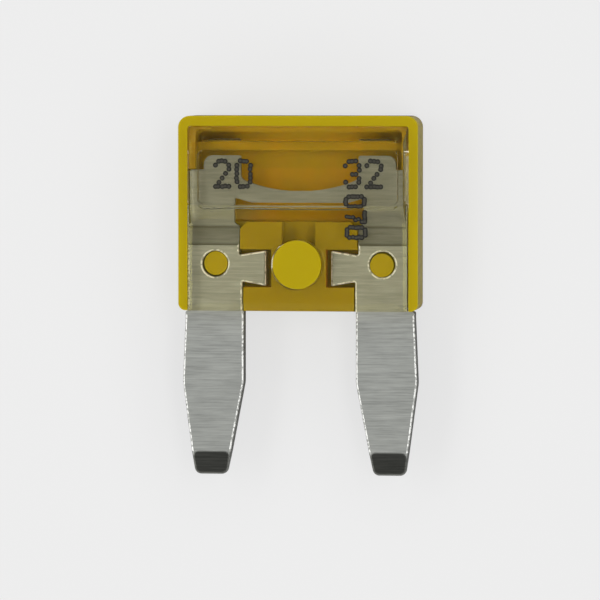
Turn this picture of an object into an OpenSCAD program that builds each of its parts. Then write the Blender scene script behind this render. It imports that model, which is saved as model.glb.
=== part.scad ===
// Mini automotive blade fuse with a two-part body. It lies on its back: X runs across the two
// blades, +Y from the blade tips to the head, and +Z to the clear front. The origin is the centre
// of the outer size, on the plane that the back of the head rests on.

/* [Body] */
// Width of the body across the two blades
body_w = 10.9; // [10.6:0.1:13.2]
// Height of the body from its seating face to the top of the head
body_h = 8.8; // [8.6:0.1:10.6]
// Thickness of the head, front to back
head_t = 3.6; // [3.2:0.1:4.4]
// Thickness of the waist between the head and the seating face
waist_t = 2.9; // [2.5:0.1:3.2]
// Thickness of the rim that frames the front and the back
rim_t = 2.2; // [1.8:0.1:2.5]
// Width of the rim along the two sides
rim_side = 0.42; // [0.3:0.01:0.6]
// Width of the rim along the top
rim_top = 0.45; // [0.3:0.01:0.6]
// Radius of the body's two top corners
top_corner_r = 0.52; // [0.2:0.01:0.7]
// Radius of the body's two lower corners
low_corner_r = 0.33; // [0.2:0.01:0.5]
// Height of the raised head, from the top rim down to where its lower slope meets the waist
head_h = 4.2; // [3.6:0.1:4.4]
// Length of the slope below the raised head
head_low_slope = 0.63; // [0.4:0.01:0.8]
// Length of the slope above the raised head
head_top_slope = 0.72; // [0.4:0.01:0.8]
// How far the sides of the raised head lean in
head_lean = 0.14; // [0.05:0.01:0.3]
// Width of the low slopes along the sides of the waist
waist_slope = 0.56; // [0.3:0.01:0.7]
// Length of the low slope at the foot of the waist
foot_slope = 0.36; // [0.2:0.01:0.5]
// How far the low slopes of the waist fall
waist_fall = 0.15; // [0.05:0.01:0.2]

/* [Tray] */
// Diameter of the big peg that holds the cover
peg_d = 2.2; // [1.8:0.1:2.7]
// Height of all three pegs' axes above the seating face
peg_y = 2.1; // [1.9:0.1:2.2]
// How far the big peg ends below the front of the waist
peg_sink = 0.04; // [0.02:0.01:0.2]
// Thickness of each side of the body beside the arc chamber
chamber_side = 0.75; // [0.65:0.01:1.05]
// Length of the arc chamber
chamber_l = 3.9; // [3.4:0.1:4.2]
// Thickness of the wall above the arc chamber
chamber_wall = 0.9; // [0.7:0.1:1.1]
// Width of the ledge along the top of the arc chamber, level with the test slots
chamber_ledge = 0.65; // [0.4:0.05:0.7]
// Thickness of the floor under the arc chamber
chamber_floor = 0.7; // [0.5:0.1:0.9]
// Radius of the arc chamber's upright corners
chamber_r = 0.25; // [0.1:0.05:0.4]
// Width of the notch that joins the chamber to the big peg
notch_w = 1.54; // [1:0.01:1.9]
// Width of the two test slots in the top wall
slot_w = 1.4; // [1:0.1:1.6]
// Depth of the corner cut off each land beside the notch
land_cut = 0.3; // [0.1:0.05:0.4]

/* [Cover] */
// Thickness of the cover over the arc chamber
window_t = 0.65; // [0.5:0.05:0.8]
// Thickness of the cover beside the hollow behind its window
hollow_side = 0.44; // [0.34:0.01:0.9]
// Distance of the hollow's lower wall from the foot of the raised head
hollow_low = 0.66; // [0.5:0.02:0.9]
// Distance of the hollow's upper wall from the top rim
hollow_top = 1.12; // [0.8:0.02:1.4]

/* [Blades] */
// How far the blades reach beyond the seating face
blade_reach = 7.5; // [6.5:0.1:9]
// Widest width of a blade
blade_w = 2.8; // [2.3:0.1:3.3]
// Thickness of the blades
blade_t = 0.8; // [0.6:0.05:1]
// How far a blade's outer edge lies inside the body's side, where the blade is widest
blade_inset = 0.09; // [0.05:0.01:0.3]
// How far a blade's outer edge steps in where the blade leaves the body
exit_step = 0.14; // [0.05:0.01:0.8]
// Distance of the blade's widest place from the seating face
widest_y = 3.3; // [2.5:0.1:4]
// How far the tip's inner corner stands in from the blade's inner edge
tip_in = 0.8; // [0.6:0.05:0.9]
// How far the tip's outer corner stands in from the blade's outer edge
tip_out = 0.55; // [0.4:0.05:0.7]
// Radius of the tip's corners, seen from the front
tip_r = 0.3; // [0.1:0.05:0.35]
// Length of the coined slopes at the tip
coin_l = 1.05; // [0.8:0.05:1.3]
// Thickness of the tip's end
tip_t = 0.34; // [0.2:0.02:0.5]

/* [Fuse link] */
// Diameter of the hole that each small peg stands in
hole_d = 1.16; // [0.9:0.02:1.3]
// Distance of the hole's axis from the blade's outer edge inside the body
hole_inset = 1.18; // [1.1:0.02:1.3]
// Width of each locking tab at its free end
tab_w = 1.62; // [1.4:0.02:1.8]
// How much narrower a locking tab is at its root, at each edge
tab_flare = 0.2; // [0.1:0.02:0.3]
// Clear distance between a locking tab and the big peg
tab_gap = 0.38; // [0.3:0.02:0.5]
// How far the locking tabs' middle lies below the pegs' axes
tab_drop = 0.19; // [0.1:0.01:0.25]
// Thickness of the thinned metal in the arc chamber
link_t = 0.3; // [0.2:0.05:0.5]
// How far the blade's inner edge steps in above its locking tab
neck_step = 0.15; // [0.1:0.01:0.3]
// Height above the pegs' axes at which the metal starts to thin
thin_rise = 0.83; // [0.7:0.01:0.9]
// Length of the slope over which the metal thins
thin_l = 0.84; // [0.6:0.02:0.9]
// Distance of the link's lower edge from the top of the head
link_drop = 3.93; // [3.7:0.01:4]
// Height of the link at its middle, across the current
link_h = 0.51; // [0.3:0.01:0.7]
// Radius of the link's upper edge
link_arc_r = 6.8; // [5:0.1:9]
// Distance of the thinned shoulders' top from the top of the head
block_drop = 1.8; // [1.6:0.05:2]
// Height of the narrow part of the thinned shoulders
block_h = 0.64; // [0.4:0.02:0.9]
// How much the thinned shoulders narrow at their outer edge
block_step = 0.6; // [0.3:0.05:0.8]

/* [Fits] */
// Clearance round the cover inside the rim
cover_clear = 0.04; // [0.02:0.01:0.1]
// Clearance of the big peg in the cover, on the radius
peg_clear = 0.05; // [0.03:0.01:0.1]
// Clearance of the small pegs in the blades, on the radius
pin_clear = 0.05; // [0.03:0.01:0.08]
// Clearance at the edges of the blades in their channels
blade_clear = 0.05; // [0.03:0.01:0.08]
// Clearance at the edges of the locking tabs in their pockets
tab_clear = 0.05; // [0.03:0.01:0.12]
// Room beyond the free end of each locking tab
tab_room = 0.24; // [0.2:0.02:0.32]

/* [Hidden] */
$fn = 64;

// Cuts run this far past a face, and solids this far into one another.
over = 0.5;
root = 0.1;

// Levels along Z, from the back of the head.
mid_z = head_t / 2;
rim_back = mid_z - rim_t / 2;
rim_front = mid_z + rim_t / 2;
waist_front = mid_z + waist_t / 2;
seat_z = mid_z - blade_t / 2;
parting_z = mid_z + blade_t / 2;

// Places along X, from the middle plane.
half_w = body_w / 2;
well_x = half_w - rim_side;
chamber_x = half_w - chamber_side;
blade_out = half_w - blade_inset;
blade_in = blade_out - blade_w;
channel_in = blade_in - blade_clear;
neck_in = channel_in + neck_step;
body_out = well_x - blade_clear;
hole_x = body_out - hole_inset;
tab_end = peg_d / 2 + tab_gap;

// Places along Y, from the seating face.
well_top = body_h - rim_top;
head_foot = well_top - head_h;
chamber_top = body_h - chamber_wall;
chamber_foot = chamber_top - chamber_l;
block_top = body_h - block_drop;
block_shoulder = block_top - block_h;
link_low = body_h - link_drop;
link_top = link_low + link_h;
tab_y = peg_y - tab_drop;
thin_foot = peg_y + thin_rise;
tab_low = tab_y - tab_w / 2;
tab_high = tab_y + tab_w / 2;

// The distance from the seating face to the middle of the whole length.
middle_y = (body_h - blade_reach) / 2;

// The corner at p1 of the path p0, p1, p2, turned into an arc that leaves p1[2] as its radius.
function rounded(p0, p1, p2, steps = 8) =
    let (
        a = [p0.x - p1.x, p0.y - p1.y],
        b = [p2.x - p1.x, p2.y - p1.y],
        u = a / norm(a),
        v = b / norm(b),
        half = acos(max(-1, min(1, u * v))) / 2,
        axis = (u + v) / max(norm(u + v), 1e-9),
        centre = [p1.x, p1.y] + axis * p1[2] / sin(half),
        sweep = 90 - half,
        from = atan2(-axis.y, -axis.x),
        way = u.x * v.y - u.y * v.x > 0 ? -1 : 1
    )
    [for (i = [0:steps]) centre + p1[2] * [
        cos(from + way * sweep * (2 * i / steps - 1)),
        sin(from + way * sweep * (2 * i / steps - 1))
    ]];

// A closed outline through points [x, y, corner radius], with each corner rounded to its radius.
function smooth(p) = [
    for (i = [0:len(p) - 1])
        let (before = p[(i + len(p) - 1) % len(p)], after = p[(i + 1) % len(p)])
            each (p[i][2] > 0 ? rounded(before, p[i], after) : [[p[i].x, p[i].y]])
];

// The points of half an outline, followed by their mirror images in the middle plane.
function both_sides(p) = concat(p, [for (i = [len(p) - 1:-1:0]) [-p[i].x, p[i].y, p[i][2]]]);

// A rectangle about the middle plane from y0 to y1, with its own radius at low and high corners.
module plate(half, y0, y1, low_r, high_r)
    polygon(smooth(both_sides([[half, y0, low_r], [half, y1, high_r]])));

// A block on z = 0 with sides that lean in: its top is inset by side, low and high.
module leaning_block(half, y0, y1, h, side, low, high)
    intersection() {
        translate([0, y1, 0]) rotate([90, 0, 0]) linear_extrude(y1 - y0)
            polygon([[-half, 0], [half, 0], [half - side, h], [side - half, h]]);
        translate([-half, 0, 0]) rotate([90, 0, 90]) linear_extrude(2 * half)
            polygon([[y0, 0], [y1, 0], [y1 - high, h], [y0 + low, h]]);
    }

// The waist and the head as they stand up from the rim, from the edge of a well set in by clear.
module raised_faces(clear) {
    waist_rise = (waist_t - rim_t) / 2;
    head_rise = (head_t - rim_t) / 2;
    // The lower slope carries on below the waist's face, down to the rim.
    buried = head_low_slope * waist_rise / (head_rise - waist_rise);
    leaning_block(well_x - clear, 0, head_foot + head_low_slope, waist_rise - waist_fall, 0, 0, 0);
    translate([0, 0, waist_rise - waist_fall])
        leaning_block(well_x - clear, 0, head_foot + head_low_slope, waist_fall,
            waist_slope - clear, foot_slope, 0);
    leaning_block(well_x - clear, head_foot - buried, well_top - clear, head_rise,
        head_lean, head_low_slope + buried, head_top_slope - clear);
}

// The well in the tray that the cover drops into, set in by clear.
module well(clear)
    plate(well_x - clear, clear > 0 ? 0 : -over, well_top - clear, 0, max(0.15 - clear, 0.05));

// The open channels, pockets and chamber in the tray, behind the cover.
module channel(side)
    mirror([side < 0 ? 1 : 0, 0, 0]) {
        translate([channel_in, -over]) square([well_x - channel_in, tab_y + over]);
        translate([neck_in, 0]) square([well_x - neck_in, block_shoulder + blade_clear]);
    }

module tab_pocket(side)
    mirror([side < 0 ? 1 : 0, 0, 0]) translate([tab_end - tab_room, tab_low - tab_clear])
        square([neck_in - tab_end + tab_room + root, tab_w + 2 * tab_clear]);

module land_corner(side)
    polygon([
        [side * (neck_in + root), chamber_foot + root],
        [side * (neck_in - land_cut), chamber_foot + root],
        [side * (neck_in - land_cut), chamber_foot],
        [side * neck_in, chamber_foot - land_cut],
        [side * (neck_in + root), chamber_foot - land_cut]
    ]);

module tray_hollows() {
    translate([0, 0, parting_z]) linear_extrude(head_t) well(0);
    translate([0, 0, seat_z]) linear_extrude(blade_t + over)
        for (side = [-1, 1]) {
            channel(side);
            tab_pocket(side);
            land_corner(side);
            // The test slot runs out through the top wall.
            translate([side * hole_x - side * over - slot_w / 2, chamber_top - over])
                square([slot_w, chamber_wall + 2 * over]);
        }
    translate([0, 0, seat_z]) linear_extrude(blade_t + over)
        translate([-notch_w / 2, peg_y]) square([notch_w, chamber_foot - peg_y + root]);
    translate([0, 0, chamber_floor]) linear_extrude(head_t)
        plate(chamber_x, chamber_foot, chamber_top - chamber_ledge, chamber_r, chamber_r);
    translate([0, 0, seat_z]) linear_extrude(head_t)
        plate(chamber_x, chamber_foot, chamber_top, chamber_r, chamber_r);
}

module peg(x, d, top)
    translate([x, peg_y, seat_z - root]) cylinder(d = d, h = top - seat_z + root);

module rear_housing() color("gold") translate([0, -middle_y, 0]) {
    difference() {
        union() {
            translate([0, 0, rim_back]) linear_extrude(rim_t)
                plate(half_w, 0, body_h, low_corner_r, top_corner_r);
            translate([0, 0, rim_back]) mirror([0, 0, 1]) raised_faces(0);
        }
        tray_hollows();
    }
    peg(0, peg_d, waist_front - peg_sink);
    for (side = [-1, 1])
        peg(side * hole_x, hole_d - 2 * pin_clear, parting_z - peg_sink);
}

module clear_cover() color([0.95, 0.95, 0.85, 0.4]) translate([0, -middle_y, 0])
    difference() {
        union() {
            translate([0, 0, parting_z]) linear_extrude(rim_front - parting_z) well(cover_clear);
            translate([0, 0, rim_front]) raised_faces(cover_clear);
        }
        translate([0, peg_y, parting_z - over])
            cylinder(d = peg_d + 2 * peg_clear, h = head_t);
        // The hollow deepens the arc chamber.
        translate([0, 0, parting_z - over]) linear_extrude(head_t - window_t - parting_z + over)
            plate(well_x - cover_clear - hollow_side, head_foot + hollow_low, well_top - hollow_top,
                chamber_r, chamber_r);
    }

// The stamped outline of one half, from the middle of the link's lower edge round the blade and
// back to the middle of its upper edge, as [x, y, corner radius].
function half_outline() = concat(
    [
        [blade_in - 0.35, link_low, 0.8],
        [blade_in + 0.4, link_low + 0.22, 0.04],
        [blade_in + 0.4, link_low - 0.9, 0.05],
        [blade_in + neck_step, link_low - 1.1, 0.05],
        [blade_in + neck_step, tab_high - tab_flare, 0.08],
        [tab_end, tab_high, 0.06],
        [tab_end, tab_low, 0.06],
        [blade_in, tab_low + tab_flare, 0.05],
        [blade_in, -widest_y, 1.5],
        [blade_in + tip_in, -blade_reach, tip_r],
        [blade_out - tip_out, -blade_reach, tip_r],
        [blade_out, -widest_y, 1.5],
        [blade_out - exit_step, -blade_clear, 0.1],
        [body_out, -blade_clear, 0.05],
        [body_out, block_shoulder, 0.12],
        [body_out - block_step, block_shoulder, 0.05],
        [body_out - block_step, block_top, 0.4],
        [blade_in + 0.13, block_top, 0.08],
        [blade_in + 0.13, link_arc(blade_in + 0.13), 0.35]
    ],
    [for (i = [5:-1:1]) let (x = (blade_in - 0.3) * i / 5) [x, link_arc(x), 0]]
);

// Height of the link's upper edge at a distance x from the middle plane.
function link_arc(x) = link_top + link_arc_r - sqrt(link_arc_r * link_arc_r - x * x);

// The strip's section along Y: coined to the tip, full at the blades and thinned in the chamber.
module strip_section()
    polygon([
        [-blade_reach, -tip_t / 2], [-blade_reach, tip_t / 2],
        [coin_l - blade_reach, blade_t / 2], [thin_foot, blade_t / 2],
        [thin_foot + thin_l, link_t / 2], [block_top + over, link_t / 2],
        [block_top + over, -link_t / 2], [thin_foot + thin_l, -link_t / 2],
        [thin_foot, -blade_t / 2], [coin_l - blade_reach, -blade_t / 2]
    ]);

module fuse_element() color("silver") translate([0, -middle_y, mid_z])
    difference() {
        intersection() {
            translate([0, 0, -blade_t]) linear_extrude(2 * blade_t)
                polygon(smooth(both_sides(half_outline())));
            translate([-body_w, 0, 0]) rotate([90, 0, 90]) linear_extrude(2 * body_w)
                strip_section();
        }
        for (side = [-1, 1])
            translate([side * hole_x, peg_y, -blade_t]) cylinder(d = hole_d, h = 2 * blade_t);
    }

rear_housing();
clear_cover();
fuse_element();
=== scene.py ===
"""Looks for a mini automotive blade fuse: a yellow moulded tray, a clear cover, one rolled zinc
element and a line of ink-jet numbers, lying on a pale studio floor."""

import math
import random

import bmesh
import bpy
from bpy.props import FloatProperty, FloatVectorProperty, PointerProperty, StringProperty
from mathutils import Euler, Matrix, Vector


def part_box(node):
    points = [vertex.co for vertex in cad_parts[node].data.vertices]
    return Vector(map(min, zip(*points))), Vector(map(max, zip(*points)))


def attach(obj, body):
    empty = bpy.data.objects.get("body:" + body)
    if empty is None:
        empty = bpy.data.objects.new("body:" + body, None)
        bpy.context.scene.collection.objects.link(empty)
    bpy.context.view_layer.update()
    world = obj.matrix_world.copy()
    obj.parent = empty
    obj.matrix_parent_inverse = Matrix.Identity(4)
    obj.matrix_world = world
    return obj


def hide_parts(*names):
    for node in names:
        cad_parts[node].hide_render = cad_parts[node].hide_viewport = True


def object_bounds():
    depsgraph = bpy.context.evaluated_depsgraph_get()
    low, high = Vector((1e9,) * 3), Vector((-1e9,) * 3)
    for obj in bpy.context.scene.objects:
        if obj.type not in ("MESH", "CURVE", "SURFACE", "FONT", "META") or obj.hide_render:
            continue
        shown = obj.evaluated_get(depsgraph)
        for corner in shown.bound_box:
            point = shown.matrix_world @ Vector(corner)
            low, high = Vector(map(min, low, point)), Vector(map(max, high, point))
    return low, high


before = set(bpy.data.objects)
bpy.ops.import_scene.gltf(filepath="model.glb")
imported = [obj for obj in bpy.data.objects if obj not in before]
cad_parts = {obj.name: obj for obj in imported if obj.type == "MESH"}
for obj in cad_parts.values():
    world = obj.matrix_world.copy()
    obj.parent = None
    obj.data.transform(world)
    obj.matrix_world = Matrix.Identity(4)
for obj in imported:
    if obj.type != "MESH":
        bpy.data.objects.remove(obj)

bl_info = {
    "name": "Mini Blade Fuse",
    "version": (1, 0, 0),
    "blender": (4, 5, 0),
    "location": "View3D > Sidebar > Fuse",
    "description": "Finishes the pieces of a mini automotive blade fuse and sets its studio",
    "category": "Object",
}

MM = 0.001
CAD_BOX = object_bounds()
TRAY_LOW, TRAY_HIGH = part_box("rear_housing")
COVER_LOW, COVER_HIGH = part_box("clear_cover")
METAL_LOW, METAL_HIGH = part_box("fuse_element")

# The body's lower edge, which seats in a fuse holder. Every place along the fuse is taken from it.
SEAT_Y = TRAY_LOW[1]

# The tray: the small pegs' middle, the space round one peg, and the height where the pegs start.
PEG_X, PEG_Y = TRAY_HIGH[0] - 1.65 * MM, SEAT_Y + 2.1 * MM
PEG_SPACE = 0.56 * MM
PEG_FOOT_Z = 1.5 * MM
RIM_WALL = 0.44 * MM
TRAY_FLOOR_Z = 0.65 * MM
CHAMBER_DEPTH = 1.5 * MM
CHAMBER_HEAD_Y = SEAT_Y + 6.4 * MM

# The cover: the foot and the upper edge of the head's low slope, and the roof of the hollow.
HEAD_FOOT, HEAD_EDGE = SEAT_Y + 4.15 * MM, SEAT_Y + 4.78 * MM
HEAD_Z, WAIST_Z = COVER_HIGH[2], COVER_HIGH[2] - 0.35 * MM
HOLLOW_ROOF_Z = COVER_HIGH[2] - 0.65 * MM
AIR_FILM = 0.015 * MM

# The element: the milled step, the coined tips and the blades' tapers, as a slope on each side.
STEP_Y = SEAT_Y + 2.93 * MM
COIN_Y = METAL_LOW[1] + 1.05 * MM
BLADE_WIDTH = 2.8 * MM
TAPER_Y = SEAT_Y - 3.3 * MM
TAPER_OUT, TAPER_IN = 0.131, 0.19


# --- Small helpers -------------------------------------------------------------------------------


def linear(hex_code):
    """The linear colour of an sRGB hex code such as "#aebb0c"."""
    channels = [int(hex_code[i : i + 2], 16) / 255 for i in (1, 3, 5)]
    return [c / 12.92 if c <= 0.04045 else ((c + 0.055) / 1.055) ** 2.4 for c in channels]


def node(tree, kind, links=None, **settings):
    """Adds a shader node. Settings name its properties or, with a socket's name, its inputs, and
    links map an input to the output that feeds it."""
    made = tree.nodes.new(kind)
    for key, value in settings.items():
        if hasattr(made, key):
            setattr(made, key, value)
        else:
            made.inputs[key.replace("_", " ")].default_value = value
    for key, socket in (links or {}).items():
        tree.links.new(socket, made.inputs[key])
    return made


def set_stops(ramp, *stops):
    """Gives a colour ramp its stops, each a position and a linear colour, in rising order."""
    first, *middle, last = stops
    for element, (position, tone) in ((ramp.elements[0], first), (ramp.elements[1], last)):
        element.position = position
        element.color = (*tone, 1)
    for position, tone in middle:
        ramp.elements.new(position).color = (*tone, 1)


def new_material(name):
    """An empty node material and its tree."""
    material = bpy.data.materials.new(name)
    material.use_nodes = True
    material.node_tree.nodes.clear()
    return material, material.node_tree


def node_mesh(name):
    """A bmesh copy of a CAD node, with its loose triangles merged into flat faces."""
    mesh = bmesh.new()
    mesh.from_mesh(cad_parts[name].data)
    bmesh.ops.remove_doubles(mesh, verts=mesh.verts, dist=0.0005 * MM)
    bmesh.ops.dissolve_limit(
        mesh, angle_limit=math.radians(0.5), verts=mesh.verts, edges=mesh.edges
    )
    return mesh


def cut_at(mesh, axis, places, wanted):
    """Cuts the faces that wanted picks at each place along an axis, 0 for X and 1 for Y."""
    normal = Vector((0, 0, 0))
    normal[axis] = 1
    for place in places:
        faces = [f for f in mesh.faces if wanted(f)]
        edges = {e for f in faces for e in f.edges}
        verts = {v for e in edges for v in e.verts}
        bmesh.ops.bisect_plane(mesh, geom=[*faces, *edges, *verts], dist=1e-8,
                               plane_co=normal * place, plane_no=normal)


def everywhere(face):
    """Picks every face."""
    return True


def soften(mesh, width, segments, least_angle, wanted=None, clamp=True):
    """Rounds a mesh's sharp edges, all of them or those that wanted picks. An outline with short
    facets in its arcs needs the clamp off, or it keeps the width down to theirs."""
    edges = [
        e
        for e in mesh.edges
        if e.is_manifold
        and e.calc_face_angle(0) > math.radians(least_angle)
        and (wanted is None or wanted(e))
    ]
    return bmesh.ops.bevel(
        mesh,
        geom=edges,
        affect="EDGES",
        offset=width,
        offset_type="OFFSET",
        segments=segments,
        profile=0.5,
        material=-1,
        clamp_overlap=clamp,
    )


def finish_piece(mesh, name, materials, replaced=(), crease=40):
    """Turns a bmesh into a finished piece that rides on the root body. Edges sharper than crease,
    in degrees, stay crisp."""
    bmesh.ops.dissolve_degenerate(mesh, dist=0.0001 * MM, edges=mesh.edges)
    data = bpy.data.meshes.new(name)
    mesh.to_mesh(data)
    mesh.free()
    data.polygons.foreach_set("use_smooth", [True] * len(data.polygons))
    data.set_sharp_from_angle(angle=math.radians(crease))
    for material in materials:
        data.materials.append(material)
    piece = bpy.data.objects.new(name, data)
    bpy.context.scene.collection.objects.link(piece)
    even = piece.modifiers.new("even_normals", "WEIGHTED_NORMAL")
    even.keep_sharp = True
    even.weight = 100
    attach(piece, "root")
    if replaced:
        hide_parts(*replaced)
    return piece


# --- Materials -----------------------------------------------------------------------------------


def yellow_polycarbonate(looks):
    """Moulded polycarbonate, pigmented: smooth and semi-gloss, with a faint orange-peel, and light
    soaks into it.
    Its colour carries painted shade and painted bounced light, darker and more amber the deeper a
    face lies in the tray, and painted light in the narrow pockets round the locking tabs."""
    material, tree = new_material("moulded_yellow_polycarbonate")
    place = node(tree, "ShaderNodeTexCoord")
    painted_shade_and_light = node(tree, "ShaderNodeAttribute", attribute_name="painted_shade_and_light")
    # The pigment is clouded, in patches about 1.7 mm across.
    cloud = node(tree, "ShaderNodeTexNoise", {"Vector": place.outputs["Object"]},
                 Scale=600.0, Detail=3.0, Roughness=0.6)
    cloudy = node(tree, "ShaderNodeMath", {0: cloud.outputs["Fac"]}, operation="MULTIPLY_ADD")
    cloudy.inputs[1].default_value = 0.12
    tree.links.new(painted_shade_and_light.outputs["Fac"], cloudy.inputs[2])
    # The ramp paints the shade and bounced light of the tray's depths into the colour: outside
    # yellow, the small pegs, painted shade on the lands, deeper amber painted shade in the chamber,
    # and painted light in the tab pockets.
    tone = node(tree, "ShaderNodeValToRGB", {"Fac": cloudy.outputs["Value"]})
    set_stops(tone.color_ramp, (0.06, looks.yellow), (0.25, looks.yellow_peg),
              (0.45, looks.yellow_lands_painted_shade), (0.8, looks.yellow_deep_painted_shade_and_bounce), (1.0, looks.yellow_pocket_painted_light))
    # The orange-peel has humps about 0.17 mm across.
    peel = node(tree, "ShaderNodeTexNoise", {"Vector": place.outputs["Object"]},
                Scale=6000.0, Detail=2.0)
    bump = node(tree, "ShaderNodeBump", {"Height": peel.outputs["Fac"]},
                Strength=0.25, Distance=0.004 * MM)
    surface = node(
        tree, "ShaderNodeBsdfPrincipled",
        {"Base Color": tone.outputs["Color"], "Normal": bump.outputs["Normal"]},
        Roughness=0.2, IOR=1.585, Subsurface_Weight=0.8, Subsurface_Scale=0.25 * MM,
        Subsurface_Radius=(1.0, 1.0, 0.05), Specular_IOR_Level=0.15,
    )
    node(tree, "ShaderNodeOutputMaterial", {"Surface": surface.outputs["BSDF"]})
    return material


def clear_polycarbonate(looks):
    """Moulded polycarbonate, unpigmented: clear and glossy, a little uneven, and faintly yellow.
    To shadow rays it is a tinted pane, so the pieces under it are lit."""
    material, tree = new_material("moulded_clear_polycarbonate")
    place = node(tree, "ShaderNodeTexCoord")
    # Flow marks from the mould wander over about 1.1 mm.
    flow = node(tree, "ShaderNodeTexNoise", {"Vector": place.outputs["Object"]},
                Scale=900.0, Detail=2.0)
    bump = node(tree, "ShaderNodeBump", {"Height": flow.outputs["Fac"]},
                Strength=0.3, Distance=0.006 * MM)
    glass = node(
        tree, "ShaderNodeBsdfPrincipled", {"Normal": bump.outputs["Normal"]},
        Base_Color=(*looks.clear_tint, 1), Roughness=0.07, IOR=1.585, Transmission_Weight=1.0,
        Specular_Tint=(0.6, 0.55, 0.15, 1),
    )
    through = node(tree, "ShaderNodeBsdfTransparent", Color=(*looks.clear_tint, 1))
    path = node(tree, "ShaderNodeLightPath")
    both = node(tree, "ShaderNodeMixShader", {"Fac": path.outputs["Is Shadow Ray"]})
    tree.links.new(glass.outputs["BSDF"], both.inputs[1])
    tree.links.new(through.outputs["BSDF"], both.inputs[2])
    node(tree, "ShaderNodeOutputMaterial", {"Surface": both.outputs["Shader"]})
    return material


def rolled_zinc(looks):
    """Rolled zinc strip, bare: dull silver with fine streaks across the blades. The tips, which the
    coining die burnished, are smoother and painted nearly black, a painted dark reflection."""
    material, tree = new_material("rolled_zinc")
    place = node(tree, "ShaderNodeTexCoord")
    # Roll marks run across the strip, 1.8 mm long and 0.07 mm wide, with finer ones among them.
    fine_place = node(tree, "ShaderNodeMapping", {"Vector": place.outputs["Object"]},
                      Scale=(1 / 1.8, 1 / 0.07, 1 / 0.3))
    fine = node(tree, "ShaderNodeTexNoise", {"Vector": fine_place.outputs["Vector"]},
                Scale=1000.0, Detail=4.0, Roughness=0.7)
    # Handling has dulled the strip in soft patches, 1.2 mm long and 0.35 mm wide.
    broad_place = node(tree, "ShaderNodeMapping", {"Vector": place.outputs["Object"]},
                       Scale=(1 / 1.2, 1 / 0.35, 1 / 0.5))
    broad = node(tree, "ShaderNodeTexNoise", {"Vector": broad_place.outputs["Vector"]},
                 Scale=1000.0, Detail=2.0)
    both = node(tree, "ShaderNodeMath", {0: broad.outputs["Fac"], 2: fine.outputs["Fac"]},
                operation="MULTIPLY_ADD")
    both.inputs[1].default_value = 0.35
    tone = node(tree, "ShaderNodeValToRGB", {"Fac": both.outputs["Value"]})
    set_stops(tone.color_ramp, (0.45, looks.zinc_deep), (0.9, looks.zinc))
    coined = node(tree, "ShaderNodeAttribute", attribute_name="coined")
    # The tips are painted nearly black, a painted dark reflection of their burnished face, with
    # paler rubbed grain.
    painted_dark_tips = node(tree, "ShaderNodeValToRGB", {"Fac": fine.outputs["Fac"]})
    set_stops(painted_dark_tips.color_ramp, (0.3, looks.zinc_coined_painted_dark), (0.7, looks.zinc_coined_painted_dark_rubbed))
    blend = node(tree, "ShaderNodeMix", {"Factor": coined.outputs["Fac"]}, data_type="RGBA")
    tree.links.new(tone.outputs["Color"], blend.inputs[6])
    tree.links.new(painted_dark_tips.outputs["Color"], blend.inputs[7])
    rough = node(tree, "ShaderNodeMapRange", {"Value": coined.outputs["Fac"]})
    rough.inputs["To Min"].default_value = 0.5
    rough.inputs["To Max"].default_value = 0.28
    bump = node(tree, "ShaderNodeBump", {"Height": fine.outputs["Fac"]},
                Strength=0.5, Distance=0.005 * MM)
    surface = node(
        tree, "ShaderNodeBsdfPrincipled",
        {"Base Color": blend.outputs[2], "Roughness": rough.outputs["Result"],
         "Normal": bump.outputs["Normal"]},
        Metallic=1.0,
    )
    node(tree, "ShaderNodeOutputMaterial", {"Surface": surface.outputs["BSDF"]})
    return material


def burr_painted_highlight(looks):
    """Zinc rolled over by the punch, along the edges: painted near white as a painted highlight, a
    bright line that breaks into small painted glints."""
    material, tree = new_material("burr_painted_highlight")
    place = node(tree, "ShaderNodeTexCoord")
    # The painted glints lie about 0.11 mm apart.
    painted_glints = node(tree, "ShaderNodeTexNoise", {"Vector": place.outputs["Object"]},
                  Scale=9000.0, Detail=1.0)
    tone = node(tree, "ShaderNodeValToRGB", {"Fac": painted_glints.outputs["Fac"]})
    set_stops(tone.color_ramp, (0.4, looks.zinc_burr_dull), (0.52, looks.zinc_burr_painted_glint))
    bump = node(tree, "ShaderNodeBump", {"Height": painted_glints.outputs["Fac"]},
                Strength=0.5, Distance=0.01 * MM)
    surface = node(
        tree, "ShaderNodeBsdfPrincipled",
        {"Base Color": tone.outputs["Color"], "Normal": bump.outputs["Normal"]},
        Metallic=0.5, Roughness=0.5,
    )
    node(tree, "ShaderNodeOutputMaterial", {"Surface": surface.outputs["BSDF"]})
    return material


def torn_zinc(looks):
    """Zinc torn through by the punch, down the sides: dark grey and matt, with a coarse grain."""
    material, tree = new_material("torn_zinc")
    place = node(tree, "ShaderNodeTexCoord")
    # The grains are about 0.08 mm across, coarser than the real ones so that they show.
    grain = node(tree, "ShaderNodeTexVoronoi", {"Vector": place.outputs["Object"]}, Scale=12000.0)
    tone = node(tree, "ShaderNodeValToRGB", {"Fac": grain.outputs["Distance"]})
    set_stops(tone.color_ramp, (0.0, looks.zinc_torn_and_crease_shade), (1.0, looks.zinc_burr_dull))
    surface = node(tree, "ShaderNodeBsdfPrincipled", {"Base Color": tone.outputs["Color"]},
                   Metallic=1.0, Roughness=0.6)
    node(tree, "ShaderNodeOutputMaterial", {"Surface": surface.outputs["BSDF"]})
    return material


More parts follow.
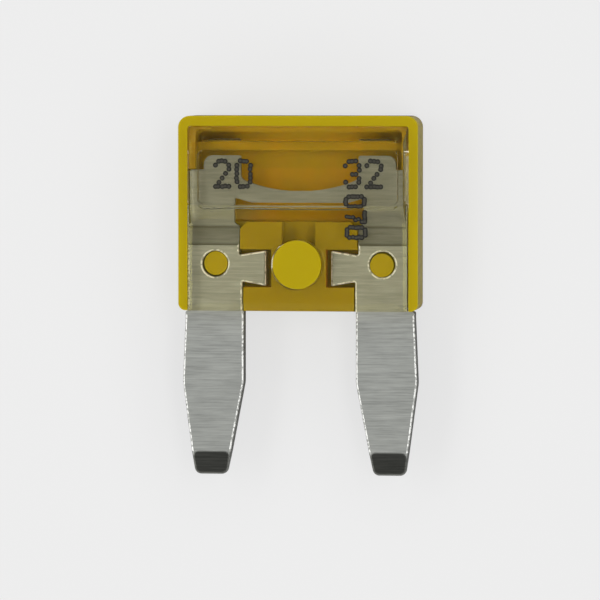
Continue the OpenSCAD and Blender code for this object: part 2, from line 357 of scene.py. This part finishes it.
def thinned_zinc(looks):
    """Zinc milled thin for the link: greyer than the rolled face, with a line of painted shade
    along each end of the slope, in the creases where the milled step starts and ends."""
    material, tree = new_material("thinned_zinc")
    place = node(tree, "ShaderNodeTexCoord")
    # The cutter's marks are 1.2 mm long and 0.1 mm wide.
    along = node(tree, "ShaderNodeMapping", {"Vector": place.outputs["Object"]},
                 Scale=(1 / 1.2, 1 / 0.1, 1 / 0.3))
    grain = node(tree, "ShaderNodeTexNoise", {"Vector": along.outputs["Vector"]},
                 Scale=1000.0, Detail=3.0)
    tone = node(tree, "ShaderNodeValToRGB", {"Fac": grain.outputs["Fac"]})
    set_stops(tone.color_ramp, (0.3, looks.zinc_thinned), (0.7, looks.zinc_thinned_pale))
    # Painted shade along the creases at both ends of the milled slope, in the torn zinc's grey.
    crease_shade = node(tree, "ShaderNodeAttribute", attribute_name="painted_crease_shade")
    crease_shaded = node(tree, "ShaderNodeMix", {"Factor": crease_shade.outputs["Fac"]}, data_type="RGBA")
    tree.links.new(tone.outputs["Color"], crease_shaded.inputs[6])
    crease_shaded.inputs[7].default_value = (*looks.zinc_torn_and_crease_shade, 1)
    surface = node(tree, "ShaderNodeBsdfPrincipled", {"Base Color": crease_shaded.outputs[2]},
                   Metallic=1.0, Roughness=0.4)
    node(tree, "ShaderNodeOutputMaterial", {"Surface": surface.outputs["BSDF"]})
    return material


def jet_ink(looks):
    """Dried ink-jet dots: nearly black, with a paler middle where the drop drew back to its rim."""
    material, tree = new_material("jet_ink")
    rim = node(tree, "ShaderNodeAttribute", attribute_name="rim")
    tone = node(tree, "ShaderNodeValToRGB", {"Fac": rim.outputs["Fac"]})
    set_stops(tone.color_ramp, (0.35, looks.ink_pale), (0.8, looks.ink))
    surface = node(tree, "ShaderNodeBsdfPrincipled", {"Base Color": tone.outputs["Color"]},
                   Roughness=0.5, Specular_IOR_Level=0.15)
    node(tree, "ShaderNodeOutputMaterial", {"Surface": surface.outputs["BSDF"]})
    return material


def studio_paper(looks):
    """Matt white acrylic sheet, lit from below for the lens alone, so shadows on it stay pale."""
    material, tree = new_material("studio_paper")
    matt = node(tree, "ShaderNodeBsdfDiffuse", Color=(*looks.paper, 1))
    faint = node(tree, "ShaderNodeBsdfDiffuse", Color=(*looks.paper_lit, 1))
    glow = node(tree, "ShaderNodeEmission", Color=(1, 1, 1, 1), Strength=0.64)
    both = node(tree, "ShaderNodeAddShader")
    tree.links.new(faint.outputs["BSDF"], both.inputs[0])
    tree.links.new(glow.outputs["Emission"], both.inputs[1])
    path = node(tree, "ShaderNodeLightPath")
    seen = node(tree, "ShaderNodeMixShader", {"Fac": path.outputs["Is Camera Ray"]})
    tree.links.new(matt.outputs["BSDF"], seen.inputs[1])
    tree.links.new(both.outputs["Shader"], seen.inputs[2])
    node(tree, "ShaderNodeOutputMaterial", {"Surface": seen.outputs["Shader"]})
    return material


# --- Settings ------------------------------------------------------------------------------------


def colour(name, description, hex_code):
    """A colour property whose default is an sRGB hex code."""
    return FloatVectorProperty(
        name=name, description=description, subtype="COLOR", size=3, min=0, max=1,
        default=linear(hex_code),
    )


def length(name, description, millimetres):
    """A length property, in metres, whose default is in millimetres."""
    return FloatProperty(
        name=name, description=description, default=millimetres * MM, min=0, unit="LENGTH",
        precision=5,
    )


class FUSE_PG_looks(bpy.types.PropertyGroup):
    """Colours of the fuse's materials and its stage."""

    yellow: colour("Yellow", "Tray plastic, outside", "#b09c04")
    yellow_peg: colour("Peg yellow", "Tray plastic, on the two small pegs", "#b49e04")
    # Painted shade on the lands, under the cover.
    yellow_lands_painted_shade: colour("Inner yellow", "Tray plastic, on the lands", "#a08605")
    # Painted shade and painted amber bounced light deep in the chamber.
    yellow_deep_painted_shade_and_bounce: colour("Deep yellow", "Tray plastic, deep in the chamber", "#ac9009")
    # Painted light in the narrow pockets round the locking tabs, where there is shade.
    yellow_pocket_painted_light: colour("Pocket yellow", "Tray plastic, round the locking tabs", "#f0a010")
    clear_tint: colour("Clear tint", "Cover plastic, per surface", "#ece9da")
    zinc: colour("Zinc", "Rolled zinc, on the streaks' crests", "#b2b4af")
    zinc_deep: colour("Deep zinc", "Rolled zinc, in the streaks", "#90928e")
    # Painted highlight: the near-white glints along the punched edges.
    zinc_burr_painted_glint: colour("Burr", "Zinc along the punched edges, in its glints", "#f4f4f0")
    zinc_burr_dull: colour("Dull burr", "Zinc along the punched edges", "#a8a9a4")
    # Also the colour of the painted shade along the milled step's creases.
    zinc_torn_and_crease_shade: colour("Torn zinc", "Zinc down the punched sides", "#646460")
    # Painted dark reflection on the burnished coined tips, plain and where rubbed.
    zinc_coined_painted_dark: colour("Coined zinc", "Zinc on the coined tips", "#4c4d49")
    zinc_coined_painted_dark_rubbed: colour("Pale coined zinc", "Coined tips, where rubbed", "#666762")
    zinc_thinned: colour("Thinned zinc", "Zinc milled thin, in its grain", "#8e8f8a")
    zinc_thinned_pale: colour("Pale thinned zinc", "Zinc milled thin", "#a4a5a0")
    ink: colour("Ink", "Ink-jet print, at a dot's rim", "#191917")
    ink_pale: colour("Pale ink", "Ink-jet print, in a dot's middle", "#403e36")
    paper: colour("Paper", "Studio floor", "#a2a2a2")
    paper_lit: colour("Lit paper", "Studio floor, what its own glow leaves of it", "#787878")


class FUSE_PG_edges(bpy.types.PropertyGroup):
    """Edge radii of the pieces, and the play of the small pegs."""

    peg_shift: length("Peg shift", "How far each small peg stands off its hole's middle", 0.03)
    tray_edge: length("Tray edge", "Radius on the tray's moulded edges", 0.05)
    cover_edge: length("Cover edge", "Radius on the cover's moulded edges", 0.08)
    foot_fillet: length("Foot fillet", "Setback of the fillet at the foot of the head", 0.12)
    blade_edge: length("Blade edge", "Radius on the element's punched edges", 0.085)


class FUSE_PG_print(bpy.types.PropertyGroup):
    """The ink-jet numbers on the cover."""

    left: StringProperty(name="Left", description="Number on the left shoulder", default="20")
    right: StringProperty(name="Right", description="Number on the right shoulder", default="32")
    column: StringProperty(name="Column", description="Number that runs down", default="070")
    dot: length("Dot", "Diameter of one ink dot", 0.235)
    pitch_x: length("Pitch across", "Distance between the dots of a row", 0.155)
    pitch_y: length("Pitch down", "Distance between the rows", 0.19)
    column_scale: FloatProperty(name="Column scale", description="Column's size beside the others",
                                default=0.72, min=0)


class FUSE_PG_stage(bpy.types.PropertyGroup):
    """Floor, light and camera."""

    floor_size: length("Floor", "Side of the floor", 900.0)
    view_width: length("View width", "Width of the view at the object", 27.08)
    distance: length("Distance", "Distance from the camera to the object", 220.0)
    strip_width: length("Strip width", "Width of each strip light", 60.0)
    strip_length: length("Strip length", "Length of each strip light", 240.0)
    strip_distance: length("Strip distance", "Distance from a strip light to the object", 250.0)
    tent_light: FloatProperty(name="Tent light", description="Brightness of the light tent",
                              default=1.8, min=0)
    strip_light: FloatProperty(name="Strip light", description="Power of each strip light",
                               default=0.15, min=0)
    yaw: FloatProperty(name="Yaw", description="Camera's turn to the right", subtype="ANGLE",
                       default=math.radians(7.5))
    pitch: FloatProperty(name="Pitch", description="Camera's turn to the head", subtype="ANGLE",
                         default=math.radians(3.0))


# --- Pieces --------------------------------------------------------------------------------------


class FUSE_OT_tray(bpy.types.Operator):
    """Finish the yellow tray with its pegs"""

    bl_idname = "fuse.tray"
    bl_label = "Tray"

    def by_peg(self, point, space):
        """True when a point is above the small pegs' foot and within a space of one's middle."""
        away = math.hypot(abs(point.x) - PEG_X, point.y - PEG_Y)
        return away < space and point.z > PEG_FOOT_Z

    def painted_shade_and_light_of(self, face):
        """How much painted shade and light a face gets, by how deep in the tray it lies: 0 outside,
        0.2 on the small pegs, 0.4 on the lands, nearly 0.8 at the chamber's head end, 0.8 in the
        chamber and 1, painted light, in the pockets round the locking tabs."""
        centre = face.calc_center_median()
        if self.by_peg(centre, PEG_SPACE - 0.02 * MM):
            return 0.2
        if (1.15 * MM < abs(centre.x) < 2.75 * MM and 1.0 * MM < centre.y - SEAT_Y < 2.85 * MM
                and 1.3 * MM < centre.z < 2.1 * MM):
            return 1.0
        inside = (
            abs(centre.x) < TRAY_HIGH[0] - RIM_WALL + 0.04 * MM
            and SEAT_Y + 0.02 * MM < centre.y < TRAY_HIGH[1] - RIM_WALL
            and TRAY_FLOOR_Z < centre.z < TRAY_HIGH[2] - RIM_WALL - 0.01 * MM
            and face.normal.z > -0.5
        )
        if not inside:
            return 0.0
        if centre.y > CHAMBER_HEAD_Y:
            return 0.77
        depth = (COVER_LOW[2] - centre.z) / CHAMBER_DEPTH
        return 0.4 + 0.4 * max(0.0, min(1.0, depth))

    def execute(self, context):
        looks, edges = context.scene.fuse_looks, context.scene.fuse_edges
        mesh = node_mesh("rear_housing")
        soften(mesh, edges.tray_edge, 3, 25)
        cut_at(mesh, 1, [CHAMBER_HEAD_Y], everywhere)
        # Each small peg stands a little to one side in its hole.
        for v in mesh.verts:
            if self.by_peg(v.co, PEG_SPACE):
                v.co.x -= math.copysign(edges.peg_shift, v.co.x)
                v.co.y += math.copysign(edges.peg_shift, -v.co.x)
        # Each face's level of painted shade and light: painted shade deepening to amber down into
        # the chamber, and painted light in the tab pockets.
        painted_shade_and_light = mesh.faces.layers.float.new("painted_shade_and_light")
        for face in mesh.faces:
            face[painted_shade_and_light] = self.painted_shade_and_light_of(face)
        finish_piece(mesh, "tray", [yellow_polycarbonate(looks)],
                     ("rear_housing",))
        return {"FINISHED"}


class FUSE_OT_cover(bpy.types.Operator):
    """Finish the clear cover"""

    bl_idname = "fuse.cover"
    bl_label = "Cover"

    def at_foot(self, edge):
        """True on the line where the head's low slope leaves the waist, which has a fillet."""
        return all(abs(v.co.y - HEAD_FOOT) < 0.02 * MM for v in edge.verts)

    def moulded(self, edge):
        """True on the edges that a small radius finishes. The back face's edges and those of the
        hollow behind the window stay crisp."""
        back_z = COVER_LOW[2] + 0.02 * MM
        at_back = any(abs(v.co.z - back_z) <= 0.01 * MM for v in edge.verts)
        in_hollow = all(abs(v.co.z - HOLLOW_ROOF_Z) < 0.01 * MM for v in edge.verts)
        return not (at_back or in_hollow or self.at_foot(edge))

    def execute(self, context):
        looks, edges = context.scene.fuse_looks, context.scene.fuse_edges
        mesh = node_mesh("clear_cover")
        # A film of air keeps the two pieces that touch it from showing through it as wet patches.
        for v in mesh.verts:
            if v.co.z < COVER_LOW[2] + 0.001 * MM:
                v.co.z += AIR_FILM
        soften(mesh, edges.cover_edge, 3, 20, self.moulded)
        soften(mesh, edges.foot_fillet, 5, 20, self.at_foot)
        finish_piece(mesh, "cover", [clear_polycarbonate(looks)],
                     ("clear_cover",))
        return {"FINISHED"}


class FUSE_OT_element(bpy.types.Operator):
    """Finish the zinc element, with burred edges painted as bright highlights, coined tips painted
    dark and a milled link with painted shade at its step
    """

    bl_idname = "fuse.element"
    bl_label = "Element"

    # The order of the element's materials.
    ROLLED, BURRED, TORN, THINNED = range(4)

    def punched(self, edge):
        """True on the punched edges below the milled step. The blades' small shoulder arcs,
        beside the seating face, stay sharp."""
        below_step = max(v.co.y for v in edge.verts) < STEP_Y
        at_shoulder = all(abs(v.co.y - SEAT_Y) <= 0.3 * MM for v in edge.verts)
        return below_step and not at_shoulder

    def paint_faces(self, mesh):
        """Gives each face the material that its slope and its place call for."""
        for face in mesh.faces:
            rise = abs(face.normal.z)
            milled_slope = abs(face.normal.x) < 0.02 and 0.9 < rise < 0.99
            if rise > 0.995 or milled_slope:
                above_step = face.calc_center_median().y > STEP_Y
                face.material_index = self.THINNED if above_step else self.ROLLED
            else:
                face.material_index = self.BURRED if rise > 0.68 else self.TORN

    def divide(self, mesh):
        """Cuts the tips and the milled step fine enough for their painted patches and lines."""
        tip_rows = [METAL_LOW[1] + 0.05 * MM * n for n in range(1, 24)]
        tip_columns = [side * (3.1 + 0.07 * n) * MM for n in range(31) for side in (-1, 1)]
        step_rows = [STEP_Y + offset * MM for offset in
                     (0.02, 0.05, 0.1, 0.16, 0.68, 0.74, 0.8, 0.84, 0.9, 0.96, 1.02)]
        cut_at(mesh, 1, tip_rows, lambda f: min(v.co.y for v in f.verts) < COIN_Y + 0.04 * MM)
        cut_at(mesh, 0, tip_columns, lambda f: max(v.co.y for v in f.verts) < COIN_Y + 0.11 * MM)
        cut_at(mesh, 1, step_rows,
               lambda f: max(v.co.y for v in f.verts) > STEP_Y and abs(f.normal.z) > 0.9)

    def coined(self, point):
        """1 inside the patch that the die squeezed, 0 outside, with rounded upper corners."""
        past_taper = TAPER_Y - point.y
        x_out = METAL_HIGH[0] - TAPER_OUT * past_taper
        x_in = METAL_HIGH[0] - BLADE_WIDTH + TAPER_IN * past_taper
        radius, margin, blur = 0.3 * MM, 0.02 * MM, 0.05 * MM
        across = abs(abs(point.x) - (x_in + x_out) / 2) - (x_out - x_in) / 2 + margin + radius
        along = point.y - COIN_Y + radius
        outside = math.hypot(max(across, 0), max(along, 0)) + min(max(across, along), 0) - radius
        return max(0.0, min(1.0, 0.5 - outside / blur))

    def painted_crease_shade(self, point):
        """How strong the painted shade is: strongest along the two ends of the milled slope, in its
        creases.
        """
        away = min(abs(point.y - STEP_Y - 0.05 * MM), abs(point.y - STEP_Y - 0.84 * MM))
        return 0.8 * max(0.0, 1.0 - away / (0.11 * MM))

    def execute(self, context):
        looks, edges = context.scene.fuse_looks, context.scene.fuse_edges
        mesh = node_mesh("fuse_element")
        cut_at(mesh, 1, [SEAT_Y - 0.25 * MM], everywhere)
        soften(mesh, edges.blade_edge, 3, 40, self.punched, clamp=False)
        self.paint_faces(mesh)
        self.divide(mesh)
        # The die flattened the burr on the tips.
        for face in mesh.faces:
            if face.material_index == self.BURRED and face.calc_center_median().y < COIN_Y:
                face.material_index = self.ROLLED
        coined = mesh.verts.layers.float.new("coined")
        # Painted shade along the milled step's creases.
        crease_shade = mesh.verts.layers.float.new("painted_crease_shade")
        for v in mesh.verts:
            if v.co.y < COIN_Y + 0.2 * MM:
                v[coined] = self.coined(v.co)
            v[crease_shade] = self.painted_crease_shade(v.co)
        materials = [rolled_zinc(looks), burr_painted_highlight(looks), torn_zinc(looks), thinned_zinc(looks)]
        finish_piece(mesh, "element", materials, ("fuse_element",), crease=12)
        return {"FINISHED"}


# Dot patterns of the digits that the numbers use, and the columns from one digit to the next.
FONT = {
    "0": (" ### ", "#   #", "#   #", "#   #", "#   #", "#   #", " ### "),
    "2": (" ### ", "#   #", "    #", "   # ", "  #  ", " #   ", "#####"),
    "3": (" ### ", "#   #", "    #", "  ## ", "    #", "#   #", " ### "),
    "7": ("#####", "    #", "   # ", "   # ", "  #  ", "  #  ", "  #  "),
}
ADVANCE = 6.3


class FUSE_OT_print(bpy.types.Operator):
    """Print plain numbers on the cover in ink-jet dots"""

    bl_idname = "fuse.print_numbers"
    bl_label = "Print"

    def dots(self, text, corner, prt, down=False):
        """The centres of a number's dots. It reads across, or down the part when down is set."""
        scatter = random.Random(text)
        drift = 0.018 * MM
        size = prt.column_scale if down else 1.0
        for place, char in enumerate(text):
            for row, line in enumerate(FONT[char]):
                for column, mark in enumerate(line):
                    if mark != "#":
                        continue
                    along = (column + place * ADVANCE) * prt.pitch_x * size
                    across = row * prt.pitch_y * size
                    dx, dy = (-across, -along) if down else (along, -across)
                    yield (corner[0] + dx + scatter.uniform(-drift, drift),
                           corner[1] + dy + scatter.uniform(-drift, drift))

    def seat(self, x, y):
        """A place on the cover's front at x and y, turned to lie flat on it."""
        rise = (y - HEAD_FOOT) / (HEAD_EDGE - HEAD_FOOT)
        if rise <= 0:
            return Matrix.Translation((x, y, WAIST_Z))
        if rise >= 1:
            return Matrix.Translation((x, y, HEAD_Z))
        tilt = math.atan2(HEAD_Z - WAIST_Z, HEAD_EDGE - HEAD_FOOT)
        return (Matrix.Translation((x, y, WAIST_Z + rise * (HEAD_Z - WAIST_Z)))
                @ Matrix.Rotation(tilt, 4, "X"))

    def execute(self, context):
        looks, prt = context.scene.fuse_looks, context.scene.fuse_print
        mesh = bmesh.new()
        rim = mesh.faces.layers.float.new("rim")
        drop_height, middle_height = 0.006 * MM, 0.004 * MM
        # Each number starts at its first digit's top left dot.
        places = [
            *self.dots(prt.left, (-3.65 * MM, SEAT_Y + 6.78 * MM), prt),
            *self.dots(prt.right, (2.26 * MM, SEAT_Y + 6.78 * MM), prt),
            *self.dots(prt.column, (3.1 * MM, SEAT_Y + 5.2 * MM), prt, down=True),
        ]
        for x, y in places:
            drop = bmesh.ops.create_cone(
                mesh, cap_ends=True, segments=12, radius1=prt.dot / 2, radius2=prt.dot * 0.47,
                depth=drop_height,
                matrix=self.seat(x, y) @ Matrix.Translation((0, 0, 0.004 * MM)),
            )
            sides = {f for v in drop["verts"] for f in v.link_faces}
            top = max(sides, key=lambda f: f.calc_center_median().z if len(f.verts) == 12 else -1)
            ring = bmesh.ops.inset_region(mesh, faces=[top], thickness=prt.dot * 0.2,
                                          depth=middle_height)["faces"]
            for face in (*sides, *ring):
                face[rim] = 1.0
            top[rim] = 0.0
        finish_piece(mesh, "print", [jet_ink(looks)])
        return {"FINISHED"}


# --- Stage ---------------------------------------------------------------------------------------


class FUSE_OT_stage(bpy.types.Operator):
    """Set the floor, the soft light and the camera"""

    bl_idname = "fuse.stage"
    bl_label = "Stage"

    # The light tent's grey at each height on the sphere, from 0 at the horizon to 1 overhead. It
    # is white all round and has a dark opening overhead for the lens.
    TENT = ((0.28, 0.05), (0.45, 1.0), (0.62, 1.0), (0.72, 0.3), (0.83, 0.08), (0.90, 0.08),
            (0.955, 0.25))
    # The strip lights' leans to the right, in degrees.
    STRIPS = (("right", 24), ("left", -37))

    def set_floor(self, scene, looks, stage):
        """A plain floor under the object."""
        floor_mesh = bmesh.new()
        bmesh.ops.create_grid(floor_mesh, x_segments=1, y_segments=1, size=stage.floor_size / 2)
        data = bpy.data.meshes.new("floor")
        floor_mesh.to_mesh(data)
        floor_mesh.free()
        data.materials.append(studio_paper(looks))
        floor = bpy.data.objects.new("floor", data)
        floor.location.z = CAD_BOX[0][2]
        scene.collection.objects.link(floor)

    def set_light(self, scene, stage):
        """A light tent, with a strip light at each side that draws bright lines along edges."""
        world = bpy.data.worlds.new("studio")
        world.use_nodes = True
        tree = world.node_tree
        tree.nodes.clear()
        place = node(tree, "ShaderNodeTexCoord")
        height = node(tree, "ShaderNodeSeparateXYZ", {"Vector": place.outputs["Generated"]})
        tent = node(tree, "ShaderNodeValToRGB", {"Fac": height.outputs["Z"]})
        set_stops(tent.color_ramp, *((level, (grey, grey, grey)) for level, grey in self.TENT))
        sky = node(tree, "ShaderNodeBackground", {"Color": tent.outputs["Color"]},
                   Strength=stage.tent_light)
        node(tree, "ShaderNodeOutputWorld", {"Surface": sky.outputs["Background"]})
        scene.world = world
        for side, lean in self.STRIPS:
            data = bpy.data.lights.new("strip_" + side, "AREA")
            data.shape = "RECTANGLE"
            data.size, data.size_y = stage.strip_width, stage.strip_length
            data.energy = stage.strip_light
            strip = bpy.data.objects.new("strip_" + side, data)
            turn = Euler((0, math.radians(lean), 0)).to_matrix()
            strip.location = turn @ Vector((0, 0, stage.strip_distance))
            strip.rotation_euler = turn.to_euler()
            strip.visible_camera = False
            scene.collection.objects.link(strip)

    def set_camera(self, scene, stage):
        """A long lens, straight above the fuse but for a small yaw and pitch."""
        target = Vector((0.11 * MM, -0.15 * MM, 2.9 * MM))
        turn = Euler((-stage.pitch, stage.yaw, 0)).to_matrix()
        data = bpy.data.cameras.new("camera")
        data.sensor_width = 36
        data.lens = data.sensor_width * stage.distance / stage.view_width
        data.clip_start, data.clip_end = 0.01, 5
        camera = bpy.data.objects.new("camera", data)
        camera.location = target + turn @ Vector((0, 0, stage.distance))
        camera.rotation_euler = turn.to_euler()
        scene.collection.objects.link(camera)
        scene.camera = camera

    def execute(self, context):
        scene = context.scene
        stage = scene.fuse_stage
        self.set_floor(scene, scene.fuse_looks, stage)
        self.set_light(scene, stage)
        self.set_camera(scene, stage)
        scene.view_settings.view_transform = "Standard"
        return {"FINISHED"}


class FUSE_PT_panel(bpy.types.Panel):
    """Lists the fuse's pieces and their settings"""

    bl_idname = "FUSE_PT_panel"
    bl_label = "Mini Blade Fuse"
    bl_space_type = "VIEW_3D"
    bl_region_type = "UI"
    bl_category = "Fuse"

    def draw(self, context):
        for operator in (FUSE_OT_tray, FUSE_OT_cover, FUSE_OT_element, FUSE_OT_print,
                         FUSE_OT_stage):
            self.layout.operator(operator.bl_idname)
        for group in (context.scene.fuse_looks, context.scene.fuse_edges,
                      context.scene.fuse_print, context.scene.fuse_stage):
            box = self.layout.box()
            for name in group.__annotations__:
                box.prop(group, name)


GROUPS = {
    "fuse_looks": FUSE_PG_looks,
    "fuse_edges": FUSE_PG_edges,
    "fuse_print": FUSE_PG_print,
    "fuse_stage": FUSE_PG_stage,
}
CLASSES = (
    *GROUPS.values(), FUSE_OT_tray, FUSE_OT_cover, FUSE_OT_element, FUSE_OT_print,
    FUSE_OT_stage, FUSE_PT_panel,
)


def register():
    for cls in CLASSES:
        bpy.utils.register_class(cls)
    for name, group in GROUPS.items():
        setattr(bpy.types.Scene, name, PointerProperty(type=group))


def unregister():
    for name in GROUPS:
        delattr(bpy.types.Scene, name)
    for cls in reversed(CLASSES):
        bpy.utils.unregister_class(cls)


def main():
    register()
    bpy.ops.fuse.tray()
    bpy.ops.fuse.cover()
    bpy.ops.fuse.element()
    bpy.ops.fuse.print_numbers()
    bpy.ops.fuse.stage()


if __name__ == "__main__":
    main()
